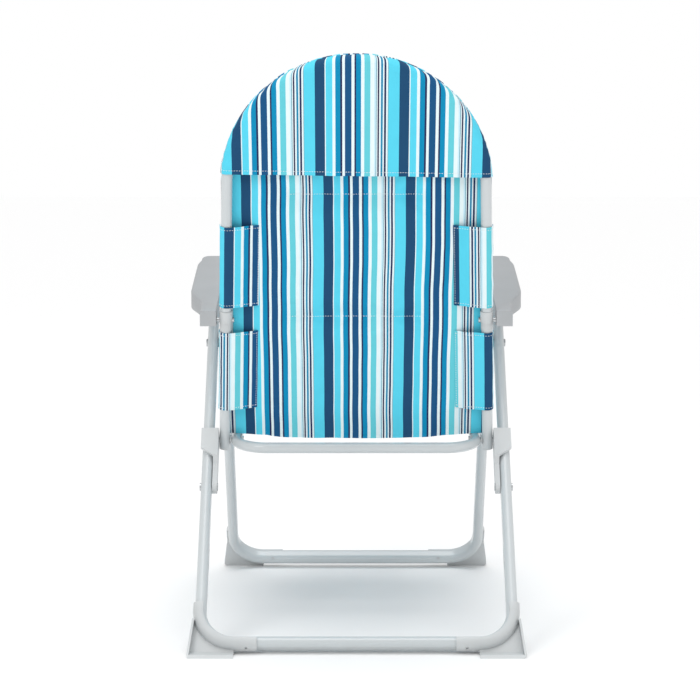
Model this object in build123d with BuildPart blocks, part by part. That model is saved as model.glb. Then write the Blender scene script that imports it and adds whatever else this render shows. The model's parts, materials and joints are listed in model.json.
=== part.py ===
from build123d import *
from math import acos, asin, atan2, cos, degrees, hypot, radians, sin
import os

# Folding beach chair: two crossed leg frames, a seat frame and an arched back frame,
# joined by plastic side links and armrests, with a padded fabric seat, back and rear hood.
# The chair faces -Y. X runs across it, +Z is up, and +X is the sitter's left.
# The origin is on the floor, in the middle of the open chair's width and depth.

# Leg tubes: flat-oval steel, bent to a U in the plane of its narrow side.
leg_tube_width = 19.4
leg_tube_depth = 30.0
leg_tube_wall = 1.3
leg_bend_radius = 58.0

# Back and seat tubes: round steel.
round_tube_radius = 9.5
round_tube_wall = 1.2

# Rear legs: from the rear floor up and forward to the armrests.
rear_half_span = 265.0
rear_lean = 40.25
rear_leg_length = 758.0
cross_tube_height = 16.0

# Front legs: hung on the rear legs by the leg rivets, from there down to the front floor.
leg_frame_gap = 1.6
front_leg_length = 533.0
front_leg_top = 13.0
front_rivet_offset = 4.0

# Pivots, as distances along the rear legs, the links, the front legs and the back frame.
leg_pivot_reach = 612.0
link_pivot_reach = 304.0
arm_pivot_inset = 12.0
link_length = 98.0
seat_pivot_reach = 178.0
back_arm_reach = 234.0

# Back frame: two slightly converging legs and a half-round arch.
back_lean = 17.2
back_link_gap = 0.9
arch_draw_in = 15.0
arch_centre_height = 476.0
back_tail = 14.0

# Seat frame: a closed ring of round tube.
seat_back_gap = 2.5
seat_slope = 5.0
seat_rear_reach = 60.0
seat_front_reach = 385.0
seat_bend_radius = 58.0

# Rivets, pins and the washers between moving tubes.
pin_radius = 4.0
head_rim = 3.0
head_height = 2.6
small_head_rim = 1.0
low_head_height = 1.2
washer_rim = 1.0
running_clearance = 0.05
side_clearance = 0.3
hinge_clearance = 0.4

# Side links.
link_thickness = 8.4
link_gap = 0.5
link_eye_radius = 12.0
saddle_top = 11.0
saddle_length = 40.0
saddle_gusset = 16.0
saddle_wall = 7.5
saddle_lip = 2.4
saddle_slant = 12.0

# Feet.
foot_wall = 3.2
foot_sole = 5.0
foot_leg_reach = 71.0
foot_cross_reach = 97.0
foot_inner_cover = 5.0
foot_side_wall = 3.6
foot_splay = 7.0
front_foot_splay = 9.0
foot_shoulder = 38.0
foot_tip_drop = 30.0
foot_tip_radius = 6.0
foot_lap = 2.0
foot_fit = 0.2
foot_web_depth = 4.0
foot_slot_reach = 79.0
foot_slot_width = 4.4
foot_slot_height = 5.0
foot_screw_reach = 78.0
foot_screw_turn = 45.0
screw_radius = 1.6
screw_head_radius = 2.8
screw_head_height = 1.2
screw_depth = 3.0

# Armrests.
arm_inner_gap = 10.1
arm_block_width = 28.0
arm_outer_gap = 22.3
arm_neck_inset = 5.0
arm_neck_length = 22.0
arm_neck_flare = 40.0
arm_wall = 4.0
arm_pin_skin = 1.5
arm_front_overhang = 28.0
arm_rear_overhang = 14.0
arm_rear_top = 17.0
arm_front_top = 53.0
arm_edge_radius = 5.0
arm_corner = 16.0
arm_swell_start = 120.0
arm_swell_end = 34.0
arm_crown = 3.0
arm_boss_drop = 13.0
arm_block_length = 22.0
arm_block_drop = 10.0
arm_skirt_rise = 12.0

# Caps, plugs and sleeves.
cap_thickness = 2.0
cap_plug_length = 6.0
plug_height = 2.5
sleeve_length = 35.0
sleeve_wall = 2.0
sleeve_step = 1.0
sleeve_step_share = 0.4
bracket_set_in = 2.5
bracket_thickness = 4.0
bracket_radius = 9.0
bracket_width = 34.0

# Cover: quilted pads, the hood behind the arch and the tabs round the tubes.
pad_gap = 0.5
pad_thickness = 12.0
pad_margin = 0.5
back_pad_bottom = 10.0
seat_pad_rear = 27.0
seat_pad_front = 12.0
seat_pad_corner = 20.0
cloth_thickness = 1.6
cloth_gap = 0.4
hood_hem_rise = 21.0
tab_seam_inset = 57.0
back_tab_length = 150.0
back_tab_lower = 138.0
back_tab_upper_drop = 141.0
seat_tab_length = 80.0
seat_tab_reaches = {"rear": 145.0, "front": 283.0}

# The open chair's depth is centred on the origin.
depth_centre = 326.9

# How far a cutter runs past what it cuts.
overshoot = 1.0

sides = {"left": 1, "right": -1}
os.makedirs("parts", exist_ok=True)


def at(forward, height):
    """A point of the side view: how far it is in front of the rear cross tube, and how high."""
    return Vector(0, depth_centre - forward, height)


def along(lean):
    """The direction that rises and leans forward by an angle from the vertical."""
    return Vector(0, -sin(radians(lean)), cos(radians(lean)))


def frame_plane(origin, up):
    """A plane across the chair: its x is X, its y runs along the given direction."""
    return Plane(origin=origin, x_dir=(1, 0, 0), z_dir=Vector(1, 0, 0).cross(up))


# Side view.
rear_foot = at(0, cross_tube_height)
rear_up = along(rear_lean)
leg_pivot = rear_foot + rear_up * leg_pivot_reach
link_pivot = rear_foot + rear_up * link_pivot_reach
arm_pivot = rear_foot + rear_up * (rear_leg_length - arm_pivot_inset)
hinge = link_pivot + rear_up * link_length

# The leg rivet sits behind the front tube's axis, which sets the lean that brings its foot down.
front_drop = leg_pivot.Z - cross_tube_height
front_lean = degrees(acos(front_drop / hypot(front_leg_length, front_rivet_offset)))
front_lean += degrees(asin(front_rivet_offset / hypot(front_leg_length, front_rivet_offset)))
front_up = along(-front_lean)
front_ahead = Vector(0, -cos(radians(front_lean)), sin(radians(front_lean)))
front_foot = leg_pivot - front_up * front_leg_length + front_ahead * front_rivet_offset
seat_pivot = leg_pivot - front_up * seat_pivot_reach
back_up = along(-back_lean)
back_pivot = hinge + back_up * back_arm_reach
seat_back = Vector(0, cos(radians(seat_slope)), -sin(radians(seat_slope)))

rear_plane = frame_plane(rear_foot, rear_up)
front_plane = frame_plane(front_foot, front_up)
back_plane = frame_plane(hinge, back_up)
seat_plane = frame_plane(hinge, seat_back)

# Across the chair.
rear_inner = rear_half_span - leg_tube_width / 2
rear_outer = rear_half_span + leg_tube_width / 2
front_outer = rear_inner - leg_frame_gap
front_inner = front_outer - leg_tube_width
front_half_span = (front_inner + front_outer) / 2
link_outer = rear_inner - link_gap
link_inner = link_outer - link_thickness
back_half_span = link_inner - back_link_gap - round_tube_radius
arch_radius = back_half_span - arch_draw_in
seat_outer = back_half_span - round_tube_radius - seat_back_gap
seat_half_span = seat_outer - round_tube_radius
seat_inner = seat_half_span - round_tube_radius
bracket_inner = seat_half_span - bracket_set_in
arm_inner = rear_inner - arm_inner_gap
arm_block_outer = arm_inner + arm_block_width
arm_outer = rear_outer + arm_outer_gap
sleeve_radius = round_tube_radius + sleeve_wall

# Pins and the tubes' flat-oval section.
head_radius = pin_radius + head_rim
small_head_radius = pin_radius + small_head_rim
washer_radius = head_radius + washer_rim
running_bore = pin_radius + running_clearance
leg_tube_half = leg_tube_width / 2
leg_tube_flat = leg_tube_depth / 2 - leg_tube_half

# Each back leg leans in to meet the arch.
taper = acos(arch_radius / hypot(back_half_span, arch_centre_height))
taper -= atan2(arch_centre_height, back_half_span)


def back_half_span_at(height):
    return back_half_span - height * sin(taper) / cos(taper)


def pin(side, centre, start, end, radius, mode=Mode.ADD):
    """A round bar or hole across the chair, between two distances from the middle."""
    with BuildSketch(Plane.YZ.offset(side * start)) as disc:
        with Locations((centre.Y, centre.Z)):
            Circle(radius)
    extrude(disc.sketch, amount=side * (end - start), mode=mode)


def washer(side, centre, start, end, radius, bore):
    pin(side, centre, start, end, radius)
    pin(side, centre, start, end, bore, mode=Mode.SUBTRACT)


def finish(part, name):
    part.label = name
    export_step(part, f"parts/{name}.step")


def leg_section(path, plane, grow=0.0, hollow=True):
    """The flat-oval section at the start of a leg path, long side across the frame's plane."""
    start = Plane(origin=path @ 0, x_dir=plane.z_dir, z_dir=path % 0)
    with BuildSketch(start) as section:
        SlotOverall(leg_tube_depth + 2 * grow, leg_tube_width + 2 * grow)
        if hollow:
            inner_depth = leg_tube_depth - 2 * leg_tube_wall
            SlotOverall(inner_depth, leg_tube_width - 2 * leg_tube_wall, mode=Mode.SUBTRACT)
    return section


def leg_path(plane, half_span, top):
    """The U of a leg frame: down one side, across at the floor and up the other side."""
    with BuildLine(plane) as path:
        FilletPolyline(
            (-half_span, top),
            (-half_span, 0),
            (half_span, 0),
            (half_span, top),
            radius=leg_bend_radius,
        )
    return path


def screw_plane(plane, side, half_span, bare):
    """Square to the cross tube's bare face, turned up; its origin is on the tube's skin."""
    turn = radians(foot_screw_turn)
    out = plane.z_dir * (bare * cos(turn)) + plane.y_dir * sin(turn)
    reach = Vector(side * (half_span - foot_screw_reach), 0, bare * leg_tube_flat)
    return Plane(origin=plane.from_local_coords(reach) + out * leg_tube_half, z_dir=out)


def screw_hole(plane, side, half_span, bare):
    with BuildSketch(screw_plane(plane, side, half_span, bare)) as hole:
        Circle(screw_radius)
    extrude(hole.sketch, amount=-screw_depth, mode=Mode.SUBTRACT)


# Leg frames.
rear_path = leg_path(rear_plane, rear_half_span, rear_leg_length)
front_path = leg_path(front_plane, front_half_span, front_leg_length + front_leg_top)

with BuildPart() as rear_leg_frame:
    section = leg_section(rear_path.line, rear_plane)
    sweep(sections=section.sketch, path=rear_path.line)
    for side in sides.values():
        for centre in (leg_pivot, link_pivot, arm_pivot):
            bore = running_bore if centre is arm_pivot else pin_radius
            start = rear_inner - overshoot
            pin(side, centre, start, rear_outer + overshoot, bore, mode=Mode.SUBTRACT)
        screw_hole(rear_plane, side, rear_half_span, 1)
finish(rear_leg_frame.part, "rear_leg_frame")

with BuildPart() as front_leg_frame:
    section = leg_section(front_path.line, front_plane)
    sweep(sections=section.sketch, path=front_path.line)
    for side in sides.values():
        start = front_inner - overshoot
        end = front_outer + overshoot
        pin(side, leg_pivot, start, end, running_bore, mode=Mode.SUBTRACT)
        pin(side, seat_pivot, start, end, pin_radius, mode=Mode.SUBTRACT)
        screw_hole(front_plane, side, front_half_span, -1)
finish(front_leg_frame.part, "front_leg_frame")


def leg_caps(name, plane, half_span, top):
    """Plastic plugs that close the tops of a leg frame's tubes."""
    with BuildPart() as caps:
        for side in sides.values():
            mouth = Plane(
                origin=plane.from_local_coords(Vector(side * half_span, top, 0)),
                x_dir=plane.z_dir,
                z_dir=plane.y_dir,
            )
            with BuildSketch(mouth) as rim:
                SlotOverall(leg_tube_depth, leg_tube_width)
            extrude(rim.sketch, amount=cap_thickness)
            with BuildSketch(mouth) as plug:
                inner_depth = leg_tube_depth - 2 * leg_tube_wall
                SlotOverall(inner_depth, leg_tube_width - 2 * leg_tube_wall)
            extrude(plug.sketch, amount=-cap_plug_length)
    finish(caps.part, name)


leg_caps("rear_leg_end_caps", rear_plane, rear_half_span, rear_leg_length)
leg_caps("front_leg_end_caps", front_plane, front_half_span, front_leg_length + front_leg_top)


def leg_solid(path, plane, grow):
    """A leg frame's U as a solid bar, its section grown on every side."""
    with BuildPart() as bar:
        section = leg_section(path.line, plane, grow=grow, hollow=False)
        sweep(sections=section.sketch, path=path.line)
    return bar.part


def foot(name, plane, side, half_span, splay, facing, clearance, wrap):
    """A moulded corner on the outward face of a leg frame's bend, with a flat sole.

    facing is the sense of that face along the plane's normal, splay is how far the sole's
    tip stands out, clearance is the tube with its fit, and wrap is the tube with the
    foot's wall round it.
    """
    low = -foot_leg_reach
    back = leg_tube_depth / 2 + foot_fit + foot_wall
    lap = plane.offset(-facing * foot_lap)
    web = plane.offset(facing * foot_web_depth)
    bend = leg_bend_radius + leg_tube_half
    shoulder_x = half_span + leg_tube_half + foot_fit + foot_wall
    slope = splay / (foot_shoulder + foot_tip_drop)
    low_x = shoulder_x + slope * (foot_shoulder - low)
    sole_x = half_span - leg_bend_radius
    end_x = half_span - foot_cross_reach
    with BuildPart() as shell:
        add(wrap)
        with BuildSketch(lap) as reach:
            with BuildLine():
                Polyline(
                    (side * (shoulder_x + overshoot), low),
                    (side * (shoulder_x + overshoot), foot_leg_reach),
                    (side * end_x, foot_leg_reach),
                    (side * end_x, low),
                    close=True,
                )
            make_face()
        extrude(reach.sketch, amount=facing * (back + foot_lap), mode=Mode.INTERSECT)
        # The inner side of the bend stays bare past the tube's crown.
        with BuildSketch(lap) as bare:
            with BuildLine():
                FilletPolyline(
                    (side * (end_x - overshoot), foot_inner_cover),
                    (side * (half_span - foot_inner_cover), foot_inner_cover),
                    (side * (half_span - foot_inner_cover), foot_leg_reach + overshoot),
                    radius=leg_bend_radius - foot_inner_cover,
                )
                Polyline(
                    (side * (half_span - foot_inner_cover), foot_leg_reach + overshoot),
                    (side * (end_x - overshoot), foot_leg_reach + overshoot),
                    (side * (end_x - overshoot), foot_inner_cover),
                )
            make_face()
        extrude(bare.sketch, amount=facing * (back + foot_lap), mode=Mode.SUBTRACT)
        with BuildSketch(lap) as corner:
            with BuildLine():
                Polyline(
                    (side * low_x, low),
                    (side * shoulder_x, foot_shoulder),
                    (side * half_span, foot_shoulder),
                    (side * half_span, bend / 2),
                    (side * (half_span - bend / 2), 0),
                    (side * sole_x, 0),
                    (side * sole_x, low),
                    close=True,
                )
            make_face()
        extrude(corner.sketch, amount=facing * (back + foot_lap))
        add(clearance, mode=Mode.SUBTRACT)
        split(bisect_by=Plane.XY, keep=Keep.TOP)
        with BuildPart(mode=Mode.PRIVATE) as pocket:
            with BuildSketch(web) as hollow:
                with BuildLine():
                    Polyline(
                        (side * (low_x - foot_side_wall), low),
                        (side * (shoulder_x - foot_side_wall), foot_shoulder),
                        (side * half_span, foot_shoulder),
                        (side * (sole_x - overshoot), 0),
                        (side * (sole_x - overshoot), low),
                        close=True,
                    )
                make_face()
            extrude(hollow.sketch, amount=facing * back)
            add(wrap, mode=Mode.SUBTRACT)
            split(bisect_by=Plane.XY.offset(foot_sole), keep=Keep.TOP)
        add(pocket.part, mode=Mode.SUBTRACT)
        tip = shell.edges().filter_by_position(Axis.Z, -0.01, 0.01).sort_by(Axis.X)
        fillet(tip[-1 if side > 0 else 0], radius=foot_tip_radius)
        with BuildSketch(plane.offset(facing * leg_tube_flat)) as slot:
            with Locations((side * (half_span - foot_slot_reach), -leg_tube_half - foot_wall / 2)):
                Rectangle(foot_slot_width, 2 * foot_wall)
        extrude(slot.sketch, amount=facing * foot_slot_height, mode=Mode.SUBTRACT)
    finish(shell.part, name)


def foot_screws(name, plane, half_span, bare):
    """A screw into each end of the cross tube, from its bare face."""
    with BuildPart() as screws:
        for side in sides.values():
            skin = screw_plane(plane, side, half_span, bare)
            with BuildSketch(skin) as shank:
                Circle(screw_radius)
            extrude(shank.sketch, amount=-screw_depth)
            with BuildSketch(skin) as head:
                Circle(screw_head_radius)
            extrude(head.sketch, amount=screw_head_height)
    finish(screws.part, name)


for name, plane, path, half_span, splay, facing in (
    ("rear", rear_plane, rear_path, rear_half_span, foot_splay, -1),
    ("front", front_plane, front_path, front_half_span, front_foot_splay, 1),
):
    clearance = leg_solid(path, plane, foot_fit)
    wrap = leg_solid(path, plane, foot_fit + foot_wall)
    for label, side in sides.items():
        foot(f"{name}_foot_{label}", plane, side, half_span, splay, facing, clearance, wrap)
    foot_screws(f"{name}_foot_screws", plane, half_span, -facing)


def rivets(name, centre, start, end, heads):
    """A pin on each side; heads lists (start, end, radius) of its heads."""
    with BuildPart() as group:
        for side in sides.values():
            pin(side, centre, start, end, pin_radius)
            for head_start, head_end, radius in heads:
                pin(side, centre, head_start, head_end, radius)
    finish(group.part, name)


def washers(name, centre, start, end, radius, bore):
    with BuildPart() as group:
        for side in sides.values():
            washer(side, centre, start, end, radius, bore)
    finish(group.part, name)


# Leg rivets: fixed in the rear tubes, and the front tubes turn on them.
rivets(
    "leg_pivot_rivets",
    leg_pivot,
    front_inner - head_height,
    rear_outer + head_height,
    (
        (front_inner - side_clearance - head_height, front_inner - side_clearance, head_radius),
        (rear_outer, rear_outer + head_height, head_radius),
    ),
)
washers(
    "leg_pivot_spacers",
    leg_pivot,
    front_outer + side_clearance,
    rear_inner,
    washer_radius,
    pin_radius,
)

# Link rivets: fixed in the rear tubes, and the side links turn on them.
rivets(
    "link_rivets",
    link_pivot,
    link_inner - low_head_height,
    rear_outer + head_height,
    (
        (link_inner - side_clearance - low_head_height, link_inner - side_clearance, head_radius),
        (rear_outer, rear_outer + head_height, head_radius),
    ),
)

# Hinge pins: fixed in the links; the back legs and the seat rails turn on them.
rivets(
    "hinge_pins",
    hinge,
    seat_inner - side_clearance - head_height,
    link_outer,
    ((seat_inner - side_clearance - head_height, seat_inner - side_clearance, head_radius),),
)
back_inner_at_hinge = back_half_span - round_tube_radius - hinge_clearance
washers(
    "hinge_spacers",
    hinge,
    seat_outer + side_clearance,
    back_inner_at_hinge,
    washer_radius,
    running_bore,
)

# Side links: an eye on the link rivet, a strap along the rear leg and a saddle block
# whose face lies on the back of the rear leg when the chair is open.
rear_behind = Vector(0, cos(radians(rear_lean)), sin(radians(rear_lean)))
saddle_face = leg_tube_depth / 2 + link_gap
saddle_end = link_length + saddle_top
saddle_start = saddle_end - saddle_length
gusset_start = saddle_start - saddle_gusset
for label, side in sides.items():
    with BuildPart() as link:
        strap_plane = Plane(
            origin=link_pivot + Vector(side * link_inner, 0, 0),
            x_dir=rear_up,
            z_dir=Vector(side, 0, 0),
        )
        behind = 1 if strap_plane.y_dir.dot(rear_behind) > 0 else -1
        with BuildSketch(strap_plane) as strap:
            with BuildLine():
                Polyline(
                    (0, -link_eye_radius),
                    (saddle_end, -link_eye_radius),
                    (saddle_end, link_eye_radius),
                    (0, link_eye_radius),
                    close=True,
                )
            make_face()
            Circle(link_eye_radius)
            with BuildLine():
                Polyline(
                    (gusset_start - saddle_slant, behind * link_eye_radius),
                    (gusset_start, behind * (saddle_face + saddle_wall)),
                    (saddle_end, behind * (saddle_face + saddle_wall)),
                    (saddle_end, behind * link_eye_radius),
                    close=True,
                )
            make_face()
        extrude(strap.sketch, amount=link_thickness)
        # The saddle narrows to the strap along a slanted lower edge.
        saddle_plane = Plane(
            origin=link_pivot + rear_behind * saddle_face,
            x_dir=(1, 0, 0),
            z_dir=Vector(1, 0, 0).cross(rear_up),
        )
        with BuildSketch(saddle_plane) as saddle:
            with BuildLine():
                Polyline(
                    (side * link_inner, gusset_start),
                    (side * link_outer, gusset_start),
                    (side * (rear_outer + saddle_lip), saddle_start),
                    (side * (rear_outer + saddle_lip), saddle_end),
                    (side * link_inner, saddle_end),
                    close=True,
                )
            make_face()
        outward = 1 if saddle_plane.z_dir.dot(rear_behind) > 0 else -1
        extrude(saddle.sketch, amount=outward * saddle_wall)
        start = link_inner - overshoot
        end = link_outer + overshoot
        pin(side, link_pivot, start, end, running_bore, mode=Mode.SUBTRACT)
        pin(side, hinge, start, end, pin_radius, mode=Mode.SUBTRACT)
    finish(link.part, f"side_link_{label}")


def tube_section(path, radius=round_tube_radius, bore=round_tube_radius - round_tube_wall):
    """The round section at the start of a tube's path; a bore of 0 leaves it solid."""
    with BuildSketch(Plane(origin=path @ 0, z_dir=path % 0)) as section:
        Circle(radius)
        if bore > 0:
            Circle(bore, mode=Mode.SUBTRACT)
    return section.sketch


# Back frame.
with BuildLine(back_plane) as back_path:
    tangent_x = arch_radius * cos(taper)
    tangent_height = arch_centre_height + arch_radius * sin(taper)
    tail_x = back_half_span_at(-back_tail)
    Line((-tail_x, -back_tail), (-tangent_x, tangent_height))
    ThreePointArc(
        (-tangent_x, tangent_height),
        (0, arch_centre_height + arch_radius),
        (tangent_x, tangent_height),
    )
    Line((tangent_x, tangent_height), (tail_x, -back_tail))
with BuildPart() as back_frame:
    sweep(sections=tube_section(back_path.line), path=back_path.line)
    for side in sides.values():
        pin(side, hinge, seat_outer, link_inner, running_bore, mode=Mode.SUBTRACT)
        arm_x = back_half_span_at(back_arm_reach)
        start = arm_x - sleeve_radius
        pin(side, back_pivot, start, arm_x + sleeve_radius, pin_radius, mode=Mode.SUBTRACT)
finish(back_frame.part, "back_frame")


def back_leg_plane(side, height):
    """Square across a back leg, at a height along the back frame."""
    origin = back_plane.from_local_coords(Vector(side * back_half_span_at(height), height, 0))
    lean_in = back_plane.x_dir * (-side * sin(taper)) + back_plane.y_dir * cos(taper)
    return Plane(origin=origin, x_dir=back_plane.z_dir, z_dir=lean_in)


with BuildPart() as plugs:
    for side in sides.values():
        mouth = back_leg_plane(side, -back_tail)
        with BuildSketch(mouth.offset(-plug_height)) as rim:
            Circle(round_tube_radius)
        extrude(rim.sketch, amount=plug_height)
        with BuildSketch(mouth) as core:
            Circle(round_tube_radius - round_tube_wall)
        extrude(core.sketch, amount=cap_plug_length)
finish(plugs.part, "back_tube_plugs")

for label, side in sides.items():
    with BuildPart() as sleeve:
        lower = back_leg_plane(side, back_arm_reach - sleeve_length / 2)
        with BuildSketch(lower) as narrow:
            Circle(sleeve_radius - sleeve_step)
        extrude(narrow.sketch, amount=sleeve_length)
        with BuildSketch(lower.offset(sleeve_length * sleeve_step_share)) as wide:
            Circle(sleeve_radius)
        extrude(wide.sketch, amount=sleeve_length * (1 - sleeve_step_share))
        with BuildSketch(lower) as bore:
            Circle(round_tube_radius)
        extrude(bore.sketch, amount=sleeve_length, mode=Mode.SUBTRACT)
        arm_x = back_half_span_at(back_arm_reach)
        pin(side, back_pivot, arm_x - 2 * sleeve_radius, arm_inner, pin_radius, mode=Mode.SUBTRACT)
        # The sleeve's front is flat, so that the pad lies against it.
        flat = back_plane.offset(round_tube_radius + pad_gap - side_clearance)
        split(bisect_by=flat, keep=Keep.BOTTOM)
    finish(sleeve.part, f"arm_sleeve_{label}")

sleeve_inner = back_half_span_at(back_arm_reach) - sleeve_radius - hinge_clearance
rivets(
    "back_arm_pins",
    back_pivot,
    sleeve_inner - head_height,
    arm_inner - side_clearance,
    ((sleeve_inner - head_height, sleeve_inner, small_head_radius),),
)

# Seat frame: a closed ring with rounded corners.
with BuildLine(seat_plane) as seat_path:
    FilletPolyline(
        (seat_half_span, seat_rear_reach),
        (seat_half_span, -seat_front_reach),
        (-seat_half_span, -seat_front_reach),
        (-seat_half_span, seat_rear_reach),
        radius=seat_bend_radius,
        close=True,
    )
with BuildPart() as seat_frame:
    sweep(sections=tube_section(seat_path.line), path=seat_path.line)
    for side in sides.values():
        start = seat_inner - overshoot
        pin(side, hinge, start, seat_outer + overshoot, running_bore, mode=Mode.SUBTRACT)
finish(seat_frame.part, "seat_frame")

# Seat brackets: plates under the seat rails that carry the front pivots.
with BuildPart() as brackets:
    for side in sides.values():
        with BuildSketch(Plane.YZ.offset(side * bracket_inner)) as plate:
            with Locations((seat_pivot.Y, seat_pivot.Z)):
                Circle(bracket_radius)
            rail = hinge - seat_back * (hinge - seat_pivot).Y
            with BuildLine():
                Polyline(
                    (seat_pivot.Y - bracket_radius, seat_pivot.Z),
                    (seat_pivot.Y + bracket_radius, seat_pivot.Z),
                    (seat_pivot.Y + bracket_width / 2, rail.Z),
                    (seat_pivot.Y - bracket_width / 2, rail.Z),
                    close=True,
                )
            make_face()
        extrude(plate.sketch, amount=side * bracket_thickness)
        start = bracket_inner - overshoot
        pin(side, seat_pivot, start, seat_outer, pin_radius, mode=Mode.SUBTRACT)
    with BuildPart(mode=Mode.PRIVATE) as rails:
        sweep(sections=tube_section(seat_path.line, bore=0), path=seat_path.line)
    add(rails.part, mode=Mode.SUBTRACT)
finish(brackets.part, "seat_brackets")

# Each front seat pivot is a stub on the seat bracket that meets a stub on the front leg.
pivot_middle = (seat_outer + front_inner) / 2
rivets(
    "seat_bracket_pins",
    seat_pivot,
    bracket_inner - low_head_height,
    pivot_middle - side_clearance / 2,
    (),
)
rivets(
    "front_leg_pins",
    seat_pivot,
    pivot_middle + side_clearance / 2,
    front_outer + low_head_height,
    ((front_outer, front_outer + low_head_height, head_radius),),
)
washers(
    "seat_pivot_spacers",
    seat_pivot,
    pivot_middle + side_clearance / 2,
    front_inner,
    washer_radius,
    pin_radius,
)

# Armrests: a crowned shell, open below, with a solid block at the back pivot.
arm_front = arm_pivot.Y - arm_front_overhang
arm_rear = back_pivot.Y + arm_rear_overhang
arm_length = arm_rear - arm_front
arm_pin_end = arm_outer - arm_neck_inset - arm_pin_skin
arm_rear_pin_end = arm_block_outer - arm_wall


def arm_outline(side, inset):
    """The armrest from above: a narrow rear block, a full middle and a slightly narrower front."""
    inner = side * (arm_inner + inset)
    block = side * (arm_block_outer - inset)
    outer = side * (arm_outer - inset)
    neck = side * (arm_outer - arm_neck_inset - inset)
    front = arm_front + inset
    neck_end = arm_front + arm_neck_length
    with BuildSketch(Plane.XY) as outline:
        with BuildLine():
            Line((inner, arm_rear), (inner, front))
            Line((inner, front), (neck - side * arm_corner, front))
            TangentArc(
                (neck - side * arm_corner, front),
                (neck, front + arm_corner),
                tangent=(side, 0),
            )
            Line((neck, front + arm_corner), (neck, neck_end))
            Spline(
                (neck, neck_end),
                (outer, neck_end + arm_neck_flare),
                tangents=((0, 1), (0, 1)),
            )
            Line((outer, neck_end + arm_neck_flare), (outer, arm_rear - arm_swell_start))
            Spline(
                (outer, arm_rear - arm_swell_start),
                (block, arm_rear - arm_swell_end),
                tangents=((0, 1), (0, 1)),
            )
            Line((block, arm_rear - arm_swell_end), (block, arm_rear))
            Line((block, arm_rear), (inner, arm_rear))
        make_face()
    return outline.sketch


def arm_profile(side, top_inset):
    """The armrest from the side: a rising, slightly crowned top over a skirt."""
    rear_top = back_pivot.Z + arm_rear_top - top_inset
    front_top = arm_pivot.Z + arm_front_top - top_inset
    middle_top = (rear_top + front_top) / 2 + arm_crown
    block_front = back_pivot.Y - arm_block_length
    block_bottom = back_pivot.Z - arm_block_drop
    with BuildSketch(Plane.YZ) as profile:
        with BuildLine():
            ThreePointArc(
                (arm_rear, rear_top),
                ((arm_rear + arm_front) / 2, middle_top),
                (arm_front, front_top),
            )
            Polyline(
                (arm_front, front_top),
                (arm_front, arm_pivot.Z - arm_boss_drop),
                (arm_pivot.Y + arm_boss_drop, arm_pivot.Z - arm_boss_drop),
                (arm_pivot.Y + 2 * arm_boss_drop, arm_pivot.Z + arm_skirt_rise / 2),
                (block_front - arm_skirt_rise, block_bottom + arm_skirt_rise),
                (block_front, block_bottom),
                (arm_rear, block_bottom),
                (arm_rear, rear_top),
            )
        make_face()
    return profile.sketch


for label, side in sides.items():
    with BuildPart() as armrest:
        extrude(arm_profile(side, 0), amount=side * (arm_outer + arm_wall))
        extrude(arm_outline(side, 0), amount=back_pivot.Z + arm_length, mode=Mode.INTERSECT)
        top_edges = armrest.faces().sort_by(Axis.Z)[-1].edges()
        fillet(top_edges, radius=arm_edge_radius)
        with BuildPart(mode=Mode.PRIVATE) as channel:
            extrude(arm_outline(side, arm_wall), amount=back_pivot.Z + arm_length)
            with BuildSketch(Plane.YZ) as under:
                rear_end = back_pivot.Y - arm_block_length
                rear_top = back_pivot.Z + arm_rear_top - arm_wall
                front_top = arm_pivot.Z + arm_front_top - arm_wall
                with BuildLine():
                    ThreePointArc(
                        (arm_rear, rear_top),
                        ((arm_rear + arm_front) / 2, (rear_top + front_top) / 2 + arm_crown),
                        (arm_front, front_top),
                    )
                    Polyline(
                        (arm_front, front_top),
                        (arm_front, 0),
                        (arm_rear, 0),
                        (arm_rear, rear_top),
                    )
                make_face()
            extrude(under.sketch, amount=side * (arm_outer + arm_wall), mode=Mode.INTERSECT)
            split(bisect_by=Plane.XZ.offset(-rear_end), keep=Keep.TOP)
        add(channel.part, mode=Mode.SUBTRACT)
        start = arm_inner - overshoot
        pin(side, arm_pivot, start, arm_pin_end, pin_radius, mode=Mode.SUBTRACT)
        pin(side, back_pivot, start, arm_rear_pin_end, pin_radius, mode=Mode.SUBTRACT)
    finish(armrest.part, f"armrest_{label}")

rivets("arm_front_pins", arm_pivot, arm_inner, arm_pin_end, ())
rivets("arm_rear_pins", back_pivot, arm_inner, arm_rear_pin_end, ())


def back_outline(margin, bottom):
    """The back frame's outline grown by a margin, cut straight at the bottom."""
    radius = arch_radius + margin
    tangent_x = radius * cos(taper)
    tangent_height = arch_centre_height + radius * sin(taper)
    foot_x = tangent_x + (tangent_height - bottom) * sin(taper) / cos(taper)
    Line((-foot_x, bottom), (-tangent_x, tangent_height))
    ThreePointArc(
        (-tangent_x, tangent_height),
        (0, arch_centre_height + radius),
        (tangent_x, tangent_height),
    )
    Line((tangent_x, tangent_height), (foot_x, bottom))
    Line((foot_x, bottom), (-foot_x, bottom))


# Back pad, in front of the tubes.
pad_rear = round_tube_radius + pad_gap
with BuildPart() as back_pad:
    with BuildSketch(back_plane.offset(pad_rear)) as outline:
        with BuildLine():
            back_outline(round_tube_radius + pad_margin, back_pad_bottom)
        make_face()
    extrude(outline.sketch, amount=pad_thickness)
finish(back_pad.part, "back_pad")

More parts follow.
